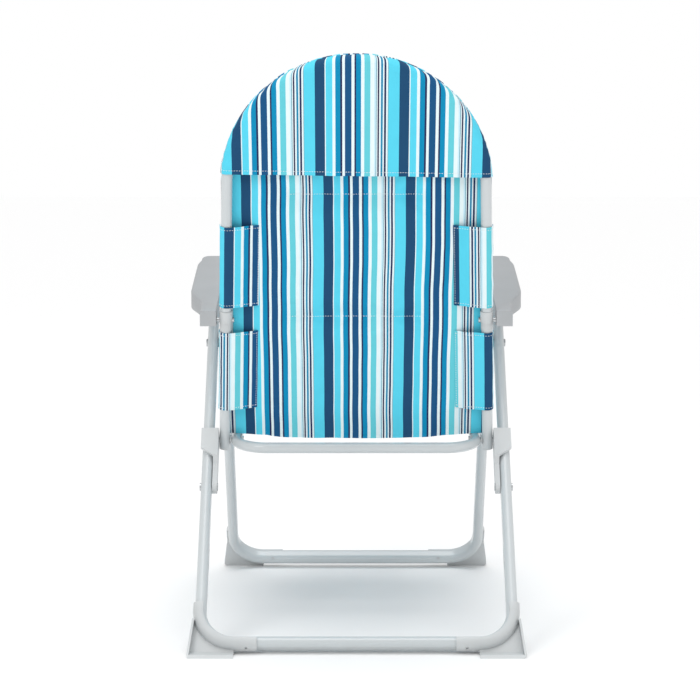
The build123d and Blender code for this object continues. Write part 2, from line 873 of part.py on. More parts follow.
# Hood: a pocket over the arch, open at its hem; the pad closes it in front.
hood_hem_height = arch_centre_height + hood_hem_rise
hood_outer = arch_radius + round_tube_radius + cloth_gap + cloth_thickness
with BuildPart() as hood:
    hood_rear = round_tube_radius + cloth_gap + cloth_thickness
    for inset, rear, front, mode in (
        (0, hood_rear, pad_rear - side_clearance, Mode.ADD),
        (cloth_thickness, hood_rear - cloth_thickness, pad_rear + overshoot, Mode.SUBTRACT),
    ):
        with BuildSketch(back_plane.offset(-rear)) as half_round:
            with Locations((0, arch_centre_height)):
                Circle(hood_outer - inset)
            with Locations((0, hood_hem_height + hood_outer)):
                Rectangle(2 * hood_outer, 2 * hood_outer, mode=Mode.INTERSECT)
        extrude(half_round.sketch, amount=rear + front, mode=mode)
finish(hood.part, "hood")


def tab(name, plane, centre, tube_up, side, length):
    """A flat tab that leaves the pad's edge, turns round the tube and is sewn to the pad's back."""
    normal = plane.z_dir
    outward = tube_up.cross(normal)
    if outward.X * side < 0:
        outward = -outward
    # On this plane x points out of the chair and y away from the pad.
    across = Plane(origin=centre, x_dir=outward, z_dir=normal.cross(outward))
    radius = round_tube_radius + cloth_gap + cloth_thickness / 2
    seam_depth = pad_rear - side_clearance - cloth_thickness / 2
    seam_reach = hypot(tab_seam_inset, seam_depth)
    turn = 180 + degrees(atan2(seam_depth, tab_seam_inset)) - degrees(acos(radius / seam_reach))
    with BuildPart() as strap:
        with BuildSketch(across) as section:
            with BuildLine() as route:
                Line((radius, -pad_rear + side_clearance), (radius, 0))
                bend = CenterArc((0, 0), radius, 0, turn)
                Line(bend @ 1, (-tab_seam_inset, -seam_depth))
            trace(route.line, line_width=cloth_thickness)
        extrude(section.sketch, amount=length / 2, both=True)
    finish(strap.part, name)


back_tab_heights = {
    "lower": back_tab_lower,
    "upper": arch_centre_height - back_tab_upper_drop,
}
for height_name, height in back_tab_heights.items():
    for label, side in sides.items():
        leg = back_leg_plane(side, height)
        name = f"back_tab_{height_name}_{label}"
        tab(name, back_plane, leg.origin, leg.z_dir, side, back_tab_length)

# Seat pad, on top of the rails and over the front bar.
with BuildPart() as seat_pad:
    with BuildSketch(seat_plane.offset(pad_rear)) as outline:
        with BuildLine():
            half_width = seat_outer + pad_margin
            front = -(seat_front_reach + seat_pad_front)
            FilletPolyline(
                (half_width, -seat_pad_rear),
                (half_width, front),
                (-half_width, front),
                (-half_width, -seat_pad_rear),
                radius=seat_pad_corner,
                close=True,
            )
        make_face()
    extrude(outline.sketch, amount=pad_thickness)
finish(seat_pad.part, "seat_pad")

for reach_name, reach in seat_tab_reaches.items():
    for label, side in sides.items():
        centre = seat_plane.from_local_coords(Vector(side * seat_half_span, -reach, 0))
        name = f"seat_tab_{reach_name}_{label}"
        tab(name, seat_plane, centre, seat_plane.y_dir, side, seat_tab_length)
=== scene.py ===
import json
import math

import bmesh
import bpy
from mathutils import Matrix, Vector, noise
from mathutils.bvhtree import BVHTree


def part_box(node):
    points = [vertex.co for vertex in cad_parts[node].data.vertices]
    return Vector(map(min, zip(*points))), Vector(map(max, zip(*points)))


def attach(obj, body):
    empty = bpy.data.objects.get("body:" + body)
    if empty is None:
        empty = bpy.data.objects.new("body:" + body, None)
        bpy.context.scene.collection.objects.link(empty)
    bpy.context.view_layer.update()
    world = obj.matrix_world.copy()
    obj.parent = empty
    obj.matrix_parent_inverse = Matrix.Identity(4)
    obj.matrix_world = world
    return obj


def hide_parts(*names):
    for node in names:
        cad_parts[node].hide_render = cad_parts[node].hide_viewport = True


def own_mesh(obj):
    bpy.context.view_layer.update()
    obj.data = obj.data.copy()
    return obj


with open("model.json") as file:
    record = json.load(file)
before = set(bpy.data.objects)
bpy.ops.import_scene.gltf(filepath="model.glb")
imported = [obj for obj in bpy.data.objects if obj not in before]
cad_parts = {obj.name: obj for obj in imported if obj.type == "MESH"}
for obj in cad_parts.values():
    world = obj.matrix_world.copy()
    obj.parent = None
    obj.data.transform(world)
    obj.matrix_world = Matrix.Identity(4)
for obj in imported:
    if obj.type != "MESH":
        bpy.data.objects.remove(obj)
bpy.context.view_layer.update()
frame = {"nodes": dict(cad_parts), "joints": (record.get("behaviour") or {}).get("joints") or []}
print("frame loaded")

# Folding beach chair. It faces -Y, +X is the sitter's left, lengths are in metres.
joints = {joint["name"]: joint for joint in frame["joints"]}
hinge = Vector(joints["back_fold"]["pos_m"])

chair = {
    "backLean": math.radians(17.2),
    "seatSlope": math.radians(5.0),
    "tubeRadius": 0.0095,
    "backHalfSpan": 0.236,
    "archRadius": 0.221,
    "archHeight": 0.476,
}
chair["seatHalfSpan"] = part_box("seat_frame")[1][0] - chair["tubeRadius"]
chair["archTaper"] = math.acos(
    chair["archRadius"] / math.hypot(chair["backHalfSpan"], chair["archHeight"])
) - math.atan2(chair["archHeight"], chair["backHalfSpan"])
rightward = Vector((1, 0, 0))
backUp = Vector((0, math.sin(chair["backLean"]), math.cos(chair["backLean"])))
backOut = Vector((0, -math.cos(chair["backLean"]), math.sin(chair["backLean"])))
seatAhead = Vector((0, -math.cos(chair["seatSlope"]), math.sin(chair["seatSlope"])))
seatOut = Vector((0, math.sin(chair["seatSlope"]), math.cos(chair["seatSlope"])))


def backPoint(across, up, out):
    # a point of the back: across the chair, up the back and out in front of the tubes' centres
    return hinge + rightward * across + backUp * up + backOut * out


def seatPoint(across, ahead, out):
    # a point of the seat: across the chair, ahead of the hinge and above the tubes' centres
    return hinge + rightward * across + seatAhead * ahead + seatOut * out


def backHalfWidth(up, margin):
    # half the width of the back frame's centre line, grown by a margin
    radius = chair["archRadius"] + margin
    taper = chair["archTaper"]
    tangentUp = chair["archHeight"] + radius * math.sin(taper)
    if up <= tangentUp:
        return radius * math.cos(taper) + (tangentUp - up) * math.tan(taper)
    return math.sqrt(max(radius ** 2 - (up - chair["archHeight"]) ** 2, 0))


def linear(hexText):
    # an sRGB hex colour as linear values
    parts = [int(hexText[i:i + 2], 16) / 255 for i in (0, 2, 4)]
    return [c / 12.92 if c <= 0.04045 else ((c + 0.055) / 1.055) ** 2.4 for c in parts] + [1]


def smoothStep(low, high, value):
    t = min(max((value - low) / (high - low), 0), 1)
    return t * t * (3 - 2 * t)


def dent(value, centre, width):
    return math.exp(-((value - centre) / width) ** 2)


def addNode(tree, kind, settings=None, inputs=None):
    # adds a node; an input is a value or another node's output socket
    node = tree.nodes.new(kind)
    for key, value in (settings or {}).items():
        setattr(node, key, value)
    for key, value in (inputs or {}).items():
        if isinstance(value, bpy.types.NodeSocket):
            tree.links.new(value, node.inputs[key])
        else:
            node.inputs[key].default_value = value
    return node


def newMaterial(name):
    material = bpy.data.materials.new(name)
    material.use_nodes = True
    tree = material.node_tree
    tree.nodes.clear()
    shader = addNode(tree, "ShaderNodeBsdfPrincipled")
    addNode(tree, "ShaderNodeOutputMaterial", inputs={"Surface": shader.outputs["BSDF"]})
    return material, tree, shader


grainDepth = 0.2  # a grain's depth as a share of its width
roughnessSpread = 0.05


def grainedFinish(name, look):
    # one colour with a little tone drift, edges rubbed a shade lighter, and a fine surface grain
    material, tree, shader = newMaterial(name)
    place = addNode(tree, "ShaderNodeTexCoord").outputs["Object"]
    drift = addNode(
        tree,
        "ShaderNodeTexNoise",
        inputs={"Vector": place, "Scale": look["driftScale"], "Detail": 3.0},
    )
    tone = addNode(tree, "ShaderNodeMix", {"data_type": "RGBA"}, {"Factor": drift.outputs["Fac"]})
    tone.inputs[6].default_value = linear(look["shade"])
    tone.inputs[7].default_value = linear(look["colour"])
    point = addNode(tree, "ShaderNodeNewGeometry").outputs["Pointiness"]
    rub = addNode(
        tree,
        "ShaderNodeMapRange",
        inputs={"Value": point, "From Min": 0.53, "From Max": 0.62, "To Max": look["wear"]},
    )
    worn = addNode(tree, "ShaderNodeMix", {"data_type": "RGBA"}, {"Factor": rub.outputs["Result"]})
    tree.links.new(tone.outputs[2], worn.inputs[6])
    worn.inputs[7].default_value = linear(look["worn"])
    tree.links.new(worn.outputs[2], shader.inputs["Base Color"])
    grain = addNode(
        tree,
        "ShaderNodeTexNoise",
        inputs={"Vector": place, "Scale": 1 / look["grain"], "Detail": 2.0, "Roughness": 0.6},
    )
    bump = addNode(
        tree,
        "ShaderNodeBump",
        inputs={
            "Strength": look["grainStrength"],
            "Distance": look["grain"] * grainDepth,
            "Height": grain.outputs["Fac"],
        },
    )
    tree.links.new(bump.outputs["Normal"], shader.inputs["Normal"])
    rough = addNode(
        tree,
        "ShaderNodeMapRange",
        inputs={
            "Value": grain.outputs["Fac"],
            "To Min": look["roughness"] - roughnessSpread,
            "To Max": look["roughness"] + roughnessSpread,
        },
    )
    tree.links.new(rough.outputs["Result"], shader.inputs["Roughness"])
    shader.inputs["Metallic"].default_value = look.get("metallic", 0.0)
    shader.inputs["Coat Weight"].default_value = look.get("coat", 0.0)
    shader.inputs["Coat Roughness"].default_value = look.get("coatRoughness", 0.1)
    return material


finishes = {
    # Powder-coated steel: a smooth gloss skin with faint orange peel, thin and pale at edges.
    "powderCoatedSteel": {
        "colour": "CBD0D2", "shade": "C2C8CA", "worn": "DDE1E3", "wear": 0.3, "driftScale": 5.0,
        "grain": 0.0016, "grainStrength": 0.06, "roughness": 0.3, "coat": 0.6, "coatRoughness": 0.1,
    },
    # Moulded polypropylene: pale grey, satin, with a fine spark-eroded texture.
    "mouldedPolypropylene": {
        "colour": "C6C9CA", "shade": "BDC1C2", "worn": "D8DBDC", "wear": 0.35, "driftScale": 14.0,
        "grain": 0.0009, "grainStrength": 0.12, "roughness": 0.45,
    },
    # Moulded nylon armrests: mid grey and a little rougher, a shade lighter on edges where hands and arms
    # rub.
    "mouldedNylon": {
        "colour": "A9ACAE", "shade": "A0A3A6", "worn": "BEC1C3", "wear": 0.35, "driftScale": 10.0,
        "grain": 0.0011, "grainStrength": 0.16, "roughness": 0.48,
    },
    # Zinc-plated rivets: bright metal with a soft brushed blur.
    "zincPlatedSteel": {
        "colour": "C9CBCC", "shade": "B4B7B9", "worn": "DADCDD", "wear": 0.3, "driftScale": 60.0,
        "grain": 0.0006, "grainStrength": 0.08, "roughness": 0.34, "metallic": 1.0,
    },
    # Spun polyester sewing thread: white, matt and slightly furred.
    "spunPolyesterThread": {
        "colour": "F2F4F4", "shade": "E2E6E7", "worn": "F6F8F8", "wear": 0.1, "driftScale": 300.0,
        "grain": 0.0004, "grainStrength": 0.3, "roughness": 0.8,
    },
}
made = {name: grainedFinish(name, look) for name, look in finishes.items()}
thread = made["spunPolyesterThread"]

for name, node in frame["nodes"].items():
    if name.endswith(("_frame", "_brackets")):
        finish = "powderCoatedSteel"
    elif name.startswith("armrest"):
        finish = "mouldedNylon"
    elif name.endswith(("rivets", "pins", "screws")):
        finish = "zincPlatedSteel"
    else:
        finish = "mouldedPolypropylene"
    node.data.materials.clear()
    node.data.materials.append(made[finish])

colours = {
    "navy": "1F4C72", "deepBlue": "1B5483", "midBlue": "088CBA", "lightCyan": "5AD4EE",
    "aqua": "67CDDA", "paleBlue": "CBEAF5", "teal": "3E8FA8", "tealBlue": "1F88B0",
    "ink": "28315A", "plum": "3C3755", "greyTeal": "7FA6B0", "white": "E6F5F8",
}

# One repeat of the printed stripes, as widths in millimetres.
stripeRepeat = (
    (16.2, "navy"), (1.6, "white"), (11.1, "lightCyan"), (5.2, "white"), (7.9, "midBlue"),
    (3.4, "ink"), (4.7, "white"), (11.0, "deepBlue"), (4.8, "white"), (2.5, "ink"),
    (8.5, "midBlue"), (5.5, "white"), (9.9, "aqua"), (6.8, "white"), (2.4, "paleBlue"),
    (1.4, "teal"), (1.8, "white"), (2.4, "plum"), (3.0, "white"), (3.1, "tealBlue"),
    (2.5, "white"), (3.1, "ink"), (3.0, "white"), (1.0, "greyTeal"), (18.3, "lightCyan"),
)
repeatWidth = sum(width for width, colour in stripeRepeat) / 1000

canvas = {
    "threadSpacing": 0.0014,  # real threads lie about 0.5 mm apart; drawn coarser so that they show
    "weaveStrength": 0.16,
    "roughness": 0.8,
    "sheen": 0.03,
    "specular": 0.15,
    "mottle": 0.05,
}


def stripedCanvas(name, start, flipped=False, wander=0.0, lengthAxis="Z", onSheet=False):
    # Printed polyester canvas: hard-edged stripes on a plain weave, matt, with a faint sheen.
    # start is where a navy stripe begins, flipped is the cloth turned end for end, and
    # onSheet reads the flat cloth's own map instead of the object's coordinates.
    material, tree, shader = newMaterial(name)
    source = addNode(tree, "ShaderNodeTexCoord")
    place = source.outputs["Object"]
    flat = addNode(tree, "ShaderNodeUVMap", {"uv_map": "flatCloth"}).outputs["UV"] if onSheet else place
    split = addNode(tree, "ShaderNodeSeparateXYZ", inputs={0: flat})
    stretch = addNode(tree, "ShaderNodeMapping", inputs={"Vector": place, "Scale": (3.0, 9.0, 9.0)})
    waver = addNode(
        tree,
        "ShaderNodeTexNoise",
        inputs={"Vector": stretch.outputs[0], "Scale": 1.0, "Detail": 1.0},
    )
    begin = start if flipped else -start
    shift = addNode(
        tree,
        "ShaderNodeMapRange",
        inputs={"Value": waver.outputs["Fac"], "To Min": begin - wander, "To Max": begin + wander},
    )
    facing = {0: split.outputs["X"], 1: shift.outputs["Result"]}
    if not flipped:
        facing = {0: shift.outputs["Result"], 1: split.outputs["X"]}
    run = addNode(tree, "ShaderNodeMath", {"operation": "SUBTRACT"}, facing)
    repeats = addNode(tree, "ShaderNodeMath", {"operation": "DIVIDE"}, {0: run.outputs[0], 1: repeatWidth})
    share = addNode(tree, "ShaderNodeMath", {"operation": "FRACT"}, {0: repeats.outputs[0]})
    ramp = addNode(tree, "ShaderNodeValToRGB", inputs={"Fac": share.outputs[0]})
    ramp.color_ramp.interpolation = "CONSTANT"
    stops = ramp.color_ramp.elements
    stops.remove(stops[1])
    position = 0.0
    for width, colour in stripeRepeat:
        stop = stops[0] if position == 0 else stops.new(position)
        stop.position = position
        stop.color = linear(colours[colour])
        position += width / 1000 / repeatWidth
    mottle = addNode(tree, "ShaderNodeTexNoise", inputs={"Vector": place, "Scale": 45.0, "Detail": 4.0})
    tone = addNode(
        tree,
        "ShaderNodeMapRange",
        inputs={
            "Value": mottle.outputs["Fac"],
            "To Min": 1 - canvas["mottle"],
            "To Max": 1 + canvas["mottle"],
        },
    )
    dyed = addNode(
        tree,
        "ShaderNodeVectorMath",
        {"operation": "SCALE"},
        {0: ramp.outputs["Color"], "Scale": tone.outputs["Result"]},
    )
    tree.links.new(dyed.outputs[0], shader.inputs["Base Color"])
    waves = []
    for axis in ("X", "Y" if onSheet else lengthAxis):
        threads = addNode(
            tree,
            "ShaderNodeMath",
            {"operation": "MULTIPLY"},
            {0: split.outputs[axis], 1: 2 * math.pi / canvas["threadSpacing"]},
        )
        waves.append(addNode(tree, "ShaderNodeMath", {"operation": "SINE"}, {0: threads.outputs[0]}))
    weave = addNode(
        tree,
        "ShaderNodeMath",
        {"operation": "MULTIPLY"},
        {0: waves[0].outputs[0], 1: waves[1].outputs[0]},
    )
    bump = addNode(
        tree,
        "ShaderNodeBump",
        inputs={"Strength": canvas["weaveStrength"], "Distance": 0.0004, "Height": weave.outputs[0]},
    )
    tree.links.new(bump.outputs["Normal"], shader.inputs["Normal"])
    shader.inputs["Roughness"].default_value = canvas["roughness"]
    shader.inputs["Sheen Weight"].default_value = canvas["sheen"]
    shader.inputs["Sheen Roughness"].default_value = 0.4
    shader.inputs["Specular IOR Level"].default_value = canvas["specular"]
    return material


print("materials made")


def finishPiece(bm, name, material, body):
    bmesh.ops.remove_doubles(bm, verts=bm.verts, dist=0.00002)
    bmesh.ops.recalc_face_normals(bm, faces=bm.faces)
    mesh = bpy.data.meshes.new(name)
    bm.to_mesh(mesh)
    bm.free()
    for face in mesh.polygons:
        face.use_smooth = True
    mesh.materials.append(material)
    piece = bpy.data.objects.new(name, mesh)
    bpy.context.scene.collection.objects.link(piece)
    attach(piece, body)
    return piece


def addSubdivision(piece, levels):
    modifier = piece.modifiers.new("Subdivision", "SUBSURF")
    modifier.levels = levels
    modifier.render_levels = levels


clothRun = {"frames": 20, "pressure": 4.0, "growth": -0.025}


def inflate(piece, sewn, cap):
    # runs the cloth with its sewn lines held, then moves each point by no more than the cap
    mesh = piece.data
    group = piece.vertex_groups.new(name="sewn")
    for index, hold in enumerate(sewn):
        if hold > 0.02:
            group.add([index], min(hold, 1), "REPLACE")
    modifier = piece.modifiers.new("Cloth", "CLOTH")
    settings = modifier.settings
    settings.quality = 5
    settings.mass = 0.3
    settings.tension_stiffness = 20
    settings.compression_stiffness = 20
    settings.shear_stiffness = 8
    settings.bending_stiffness = 0.6
    settings.use_pressure = True
    settings.uniform_pressure_force = clothRun["pressure"]
    settings.shrink_min = clothRun["growth"]
    settings.vertex_group_mass = "sewn"
    settings.effector_weights.gravity = 0
    modifier.collision_settings.use_collision = False
    modifier.point_cache.frame_start = 1
    modifier.point_cache.frame_end = clothRun["frames"]
    scene = bpy.context.scene
    for number in range(1, clothRun["frames"] + 1):
        scene.frame_set(number)
    shaped = piece.evaluated_get(bpy.context.evaluated_depsgraph_get())
    moved = [vert.co.copy() for vert in shaped.data.vertices]
    piece.modifiers.remove(modifier)
    piece.vertex_groups.remove(group)
    scene.frame_set(1)
    for vert, place in zip(mesh.vertices, moved):
        step = place - vert.co
        if step.length > cap:
            step *= cap / step.length
        vert.co += step


folds = {
    "often": 16,
    "height": 0.0012,
    "longHeight": 0.0022,
    "sagReach": 0.03,
    "fade": 0.01,
    "frontPinch": 0.75,
    "rearPinch": 0.9,
    "rearThinner": 0.001,
    "fill": 0.45,
}


def makePad(spec, place, halfWidth, rowPlace, material, body):
    # A quilted pad: two skins that meet at a sewn edge, each crowned between its seams.
    bm = bmesh.new()
    for skin in ("front", "rear"):
        grid = bmesh.ops.create_grid(bm, x_segments=spec["columns"], y_segments=spec["rows"], size=0.5)
        for vert in grid["verts"]:
            share = vert.co.x * 2
            along = rowPlace(vert.co.y + 0.5)
            half = halfWidth(along)
            across = share * half
            sag = spec["endSag"] * (1 - share ** 2) * dent(along, spec["start"], folds["sagReach"])
            low = along - spec["start"] + sag
            edge = max(min((1 - abs(share)) * half, low, spec["end"] - along), 0)
            swell = math.sqrt(max(1 - (1 - min(edge / spec["edgeRun"], 1)) ** 2, 0))
            phase = 3.0 if skin == "front" else 9.0
            ripple = noise.noise(Vector((across * folds["often"], along * folds["often"], phase)))
            ripple *= folds["height"]
            quilt = 0.0
            for channel in spec["channels"]:
                line = channel + folds["height"] * noise.noise(Vector((across * 20, channel, 2.0)))
                near = spec["channelHalf"] - folds["fade"]
                far = spec["channelHalf"] + folds["fade"]
                ends = 1 - smoothStep(near, far, abs(across))
                quilt = max(quilt, ends * dent(along, line, spec["channelWidth"]))
            if skin == "front":
                rise = spec["skin"] + smoothStep(0, spec["crownRun"], edge) * spec["crown"]
                out = spec["middle"] + swell * (rise + ripple) * (1 - folds["frontPinch"] * quilt)
            else:
                # the rear skin stays thin over the tubes and has long folds down the chair between them
                inner = smoothStep(0, 0.03, chair["seatHalfSpan"] - 0.02 - abs(across))
                rise = spec["skin"] - folds["rearThinner"] + inner * spec["rearBulge"]
                fold = noise.noise(Vector((across * 34, along * 3.5, 6.0))) * folds["longHeight"] * inner
                pinch = 1 - folds["rearPinch"] * quilt
                out = spec["middle"] - swell * (rise + fold + ripple * inner) * pinch
            vert.co = place(across, along - sag, out)
            underTab = skin == "rear" and abs(across) > spec["tabsFrom"]
            vert.tag = edge < 0.002 or quilt > 0.75 or underTab
    bmesh.ops.remove_doubles(bm, verts=bm.verts, dist=0.00002)
    sewn = [1.0 if vert.tag else 0.0 for vert in bm.verts]
    piece = finishPiece(bm, spec["name"], material, body)
    inflate(piece, sewn, spec["cap"])
    addSubdivision(piece, 1)
    return piece


backSpec = {
    "name": "quiltedBackPad",
    "columns": 96,
    "rows": 128,
    "start": 0.008,
    "end": chair["archHeight"] + chair["archRadius"] + 0.0118,
    "edgeRun": 0.018,
    "margin": 0.0118,
    "middle": 0.0152,
    "skin": 0.0058,
    "crown": 0.006,
    "crownRun": 0.09,
    "rearBulge": 0.003,
    "channels": (0.2357, 0.4624),
    "channelHalf": 0.118,
    "channelWidth": 0.006,
    "endSag": 0.007,
    "cap": 0.005,
    "tabsFrom": 0.158,
}


def backRow(share):
    # rows are even up the straight part and crowd together towards the top of the arch
    radius = chair["archRadius"] + backSpec["margin"]
    straight = chair["archHeight"] - backSpec["start"]
    travelled = share * (straight + radius * math.pi / 2)
    if travelled < straight:
        return backSpec["start"] + travelled
    return chair["archHeight"] + radius * math.sin((travelled - straight) / radius)


backPad = makePad(
    backSpec,
    backPoint,
    lambda up: backHalfWidth(up, backSpec["margin"]),
    backRow,
    stripedCanvas("stripedCanvasBack", -0.0568, wander=0.002),
    "back",
)
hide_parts("back_pad")
print("back pad made")

seatSpec = {
    "name": "quiltedSeatPad",
    "columns": 92,
    "rows": 80,
    "start": 0.027,
    "end": 0.399,
    "corner": 0.022,
    "half": chair["seatHalfSpan"] + 0.0112,
    "edgeRun": 0.018,
    "middle": 0.0152,
    "skin": 0.0058,
    "crown": 0.007,
    "crownRun": 0.08,
    "rearBulge": 0.003,
    "channels": (0.14, 0.262),
    "channelHalf": 0.17,
    "channelWidth": 0.006,
    "endSag": 0.0,
    "cap": 0.005,
    "tabsFrom": 0.148,
}


def seatHalfWidth(ahead):
    corner = seatSpec["corner"]
    near = max(min(ahead - seatSpec["start"], seatSpec["end"] - ahead), 0)
    if near >= corner:
        return seatSpec["half"]
    return seatSpec["half"] - corner + math.sqrt(corner ** 2 - (corner - near) ** 2)


seatPad = makePad(
    seatSpec,
    seatPoint,
    seatHalfWidth,
    lambda share: seatSpec["start"] + share * (seatSpec["end"] - seatSpec["start"]),
    stripedCanvas("stripedCanvasSeat", -0.0568, wander=0.0012, lengthAxis="Y"),
    "seat",
)
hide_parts("seat_pad")
print("seat pad made")


def makeSheet(name, columns, rows, flatPlace, place, material, body, thickness):
    # A sheet of cloth: cut flat, with its map laid on the flat cloth, then put in its place.
    bm = bmesh.new()
    flatMap = bm.loops.layers.uv.new("flatCloth")
    bmesh.ops.create_grid(bm, x_segments=columns, y_segments=rows, size=0.5)
    for vert in bm.verts:
        vert.co = Vector((*flatPlace(vert.co.x * 2, vert.co.y + 0.5), 0))
    for face in bm.faces:
        for corner in face.loops:
            corner[flatMap].uv = corner.vert.co.xy
    for vert in bm.verts:
        vert.co = place(vert.co.x, vert.co.y)
    piece = finishPiece(bm, name, material, body)
    skin = piece.modifiers.new("Solidify", "SOLIDIFY")
    skin.thickness = thickness
    skin.offset = 0
    addSubdivision(piece, 1)
    return piece


stitch = {"length": 0.0034, "gap": 0.001, "radius": 0.0005}


def sewRow(bm, route, shareStart=0.0, shareEnd=1.0):
    # a row of stitches along a route, which gives a point and the cloth's outward side
    samples = [route(i / 200)[0] for i in range(201)]
    length = sum((b - a).length for a, b in zip(samples, samples[1:]))
    count = max(int(length * (shareEnd - shareStart) / (stitch["length"] + stitch["gap"])), 1)
    for number in range(count):
        share = shareStart + (number + 0.5) / count * (shareEnd - shareStart)
        centre, outward = route(share)
        ahead = (route(min(share + 0.004, 1))[0] - route(max(share - 0.004, 0))[0]).normalized()
        sideways = outward.cross(ahead).normalized()
        turn = Matrix((ahead, sideways, ahead.cross(sideways))).transposed().to_4x4()
        scale = Matrix.Diagonal((stitch["length"] / 2, stitch["radius"], stitch["radius"], 1))
        placed = Matrix.Translation(centre) @ turn @ scale
        bmesh.ops.create_icosphere(bm, subdivisions=1, radius=1, matrix=placed)


# The pads' quilting: a row of stitches on each face of every channel.
def quiltPad(pad, name, spec, place, outward, body):
    surface = BVHTree.FromObject(pad, bpy.context.evaluated_depsgraph_get())
    bm = bmesh.new()
    for channel in spec["channels"]:
        for face in (1, -1):
            samples = []
            for number in range(quilting["samples"] + 1):
                across = (number / quilting["samples"] * 2 - 1) * (spec["channelHalf"] - 0.004)
                hit = surface.ray_cast(place(across, channel, face * quilting["reach"]), outward * -face)[0]
                samples.append(hit + outward * (face * quilting["lift"]))

            def route(share, samples=samples, face=face):
                spot = min(max(share, 0), 1) * quilting["samples"]
                low = min(int(spot), quilting["samples"] - 1)
                return samples[low].lerp(samples[low + 1], spot - low), outward * face

            sewRow(bm, route)
    piece = finishPiece(bm, name, thread, body)
    for soft in (pad, piece):
        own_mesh(soft)


quilting = {"samples": 60, "reach": 0.08, "lift": 0.0001, "foldedShare": 0.15, "foldedFace": 0.0098}
quiltPad(
    backPad,
    "backQuiltStitches",
    backSpec,
    backPoint,
    backOut,
    "back",
)
quiltPad(
    seatPad,
    "seatQuiltStitches",
    seatSpec,
    seatPoint,
    seatOut,
    "seat",
)
print("pads quilted")

# Hood: one sheet stretched over the back of the arch and turned round the tube to the pad.
hoodSpec = {
    "hem": 0.5025,
    "hemTilt": 0.006,
    "hemWidth": 0.46,
    "hemRise": 0.0006,
    "slack": 0.0022,
    "gather": 0.0016,
    "pucker": 0.0007,
    "wrapRadius": 0.0115,
    "skirt": 0.0095,
    "hemFold": 0.0085,
    "thickness": 0.0011,
}
hoodRadius = chair["archRadius"] + hoodSpec["wrapRadius"] * math.pi / 2 + hoodSpec["skirt"]


def hoodHem(across):
    # the hem hangs a little lower on one side and scallops between its stitches
    scallop = 0.0006 * noise.noise(Vector((across * 40, 0, 0)))
    return hoodSpec["hem"] + hoodSpec["hemTilt"] * across / hoodSpec["hemWidth"] + scallop


def hoodFlat(share, height):
    low = math.asin((hoodHem(share * hoodRadius) - chair["archHeight"]) / hoodRadius)
    angle = low + height * (math.pi / 2 - low)
    return share * hoodRadius * math.cos(angle), chair["archHeight"] + hoodRadius * math.sin(angle)


def hoodPoint(across, up):
    # takes a point of the flat sheet to its place: flat behind the arch, then round the tube
    rise = up - chair["archHeight"]
    reach = math.hypot(across, rise)
    wrap = hoodSpec["wrapRadius"]
    turned = (reach - chair["archRadius"]) / wrap
    angle = math.atan2(rise, across)
    inside = smoothStep(0, 0.06, chair["archRadius"] - reach)
    slack = (noise.noise(Vector((across * 9, up * 9, 2.0))) + 0.4) * hoodSpec["slack"] * inside
    hemEnd = smoothStep(hoodSpec["hemFold"], hoodSpec["hemFold"] + 0.002, up - hoodHem(across))
    fold = hoodSpec["hemRise"] * (1 - hemEnd)
    # gathers run out toward the arch, with finer puckers at its very edge
    gather = noise.noise(Vector((angle * 30, reach * 6, 4.0))) * hoodSpec["gather"]
    gather *= smoothStep(0.13, 0.215, reach)
    pucker = noise.noise(Vector((angle * 75, reach * 4, 8.0))) * hoodSpec["pucker"]
    gather += pucker * smoothStep(0.17, 0.22, reach)
    if turned <= 0:
        outward, out = reach, -wrap + slack + gather * 0.5
    elif turned < math.pi / 2:
        outward = chair["archRadius"] + math.sin(turned) * (wrap + gather)
        out = -math.cos(turned) * (wrap + gather * 0.5)
    else:
        outward = chair["archRadius"] + wrap + gather
        out = reach - chair["archRadius"] - wrap * math.pi / 2
    return backPoint(math.cos(angle) * outward, chair["archHeight"] + math.sin(angle) * outward, out - fold)


hood = makeSheet(
    "rearHood",
    150,
    96,
    hoodFlat,
    hoodPoint,
    stripedCanvas("stripedCanvasHood", -0.0697, onSheet=True),
    "back",
    hoodSpec["thickness"],
)
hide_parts("hood")
hoodLow = math.asin((hoodSpec["hem"] - chair["archHeight"]) / hoodRadius)
bm = bmesh.new()
hemHalf = hoodRadius * math.cos(hoodLow) - 0.012


def hoodHemRoute(share):
    across = (share * 2 - 1) * hemHalf
    up = hoodHem(across) + hoodSpec["hemFold"] - 0.0012
    step = 0.001
    here = hoodPoint(across, up)
    outward = (hoodPoint(across + step, up) - here).cross(hoodPoint(across, up + step) - here).normalized()
    if outward.dot(backOut) > 0.3:
        outward = -outward
    return here + outward * (hoodSpec["thickness"] * 0.5 + 0.0001), outward


sewRow(bm, hoodHemRoute)
finishPiece(bm, "hoodHemStitches", thread, "back")
print("hood made")

# Tabs: each strip leaves the pad's edge, turns round the tube and is sewn to the pad's back.
tabSpec = {
    "radius": 0.0109,
    "seamInset": 0.057,
    "seamDepth": 0.0082,
    "freeEnd": 0.0085,
    "hem": 0.0062,
    "hemRise": 0.0005,
    "bow": 0.0012,
    "dip": 0.0004,
    "thickness": 0.0011,
}
backTabs = {
    "backTabUpperLeft": {"node": "back_tab_upper_left", "side": 1, "start": -0.2317, "flipped": False},
    "backTabUpperRight": {"node": "back_tab_upper_right", "side": -1, "start": -0.1795, "flipped": True},
    "backTabLowerLeft": {"node": "back_tab_lower_left", "side": 1, "start": 0.1248, "flipped": True},
    "backTabLowerRight": {"node": "back_tab_lower_right", "side": -1, "start": 0.2298, "flipped": False},
}
tabLengths = {"back": 0.15, "seat": 0.08}
backTabHeights = {"Upper": 0.335, "Lower": 0.138}
seatTabReaches = {"Rear": 0.145, "Front": 0.283}


